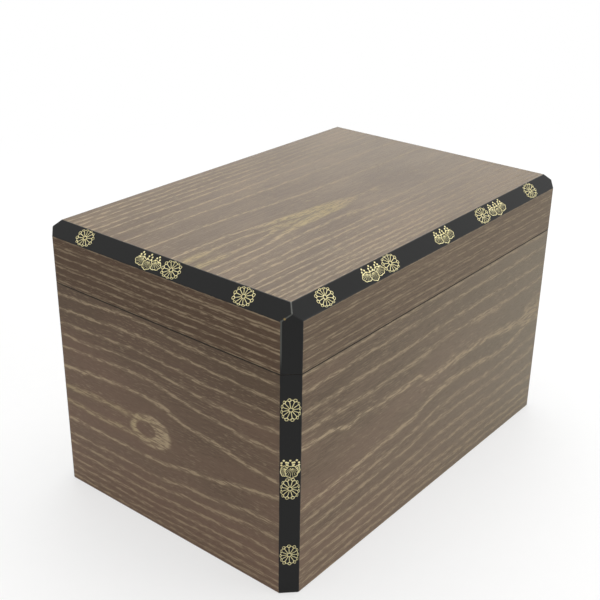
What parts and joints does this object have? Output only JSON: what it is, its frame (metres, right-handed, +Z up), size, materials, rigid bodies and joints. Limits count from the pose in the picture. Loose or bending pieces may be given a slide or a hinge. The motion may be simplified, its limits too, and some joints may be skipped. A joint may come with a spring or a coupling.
{
  "type": "tea ceremony box",
  "caption": "Small wooden tea ceremony box with bevelled black edges, a flush lid that lifts straight off an inner lip, and a hanging inner tray.",
  "frame": {"origin": "middle of the underside that the box stands on", "axes": "+X along the long side to the right, +Y from the front to the back, +Z up through the lid"},
  "size_m": [0.218, 0.1466, 0.1365],
  "materials": {
    "stained_wood": "satin",
    "inner_wood": "matte",
    "black_lacquer": "satin",
    "gold_powder": "satin"
  },
  "bodies": {
    "case": {"case_wall_front": "stained_wood", "case_wall_back": "stained_wood", "case_wall_left": "stained_wood", "case_wall_right": "stained_wood", "case_bottom": "inner_wood", "lip_front": "inner_wood", "lip_back": "inner_wood", "lip_left": "inner_wood", "lip_right": "inner_wood", "tray_cleat_left": "inner_wood", "tray_cleat_right": "inner_wood", "case_tongue_front_left": "inner_wood", "case_tongue_front_right": "inner_wood", "case_tongue_back_left": "inner_wood", "case_tongue_back_right": "inner_wood"},
    "tray": {"tray_wall_front": "inner_wood", "tray_wall_back": "inner_wood", "tray_wall_left": "inner_wood", "tray_wall_right": "inner_wood", "tray_bottom": "inner_wood"},
    "lid": {"lid_top": "stained_wood", "lid_wall_front": "stained_wood", "lid_wall_back": "stained_wood", "lid_wall_left": "stained_wood", "lid_wall_right": "stained_wood", "lid_tongue_front_left": "inner_wood", "lid_tongue_front_right": "inner_wood", "lid_tongue_back_left": "inner_wood", "lid_tongue_back_right": "inner_wood"}
  },
  "joints": [
    {"name": "tray_lift", "type": "slide", "parent": "case", "child": "tray", "axis": [0, 0, 1], "range_m": [0, 0.12]},
    {"name": "lid_lift", "type": "slide", "parent": "tray", "child": "lid", "axis": [0, 0, 1], "range_m": [0, 0.14]}
  ]
}
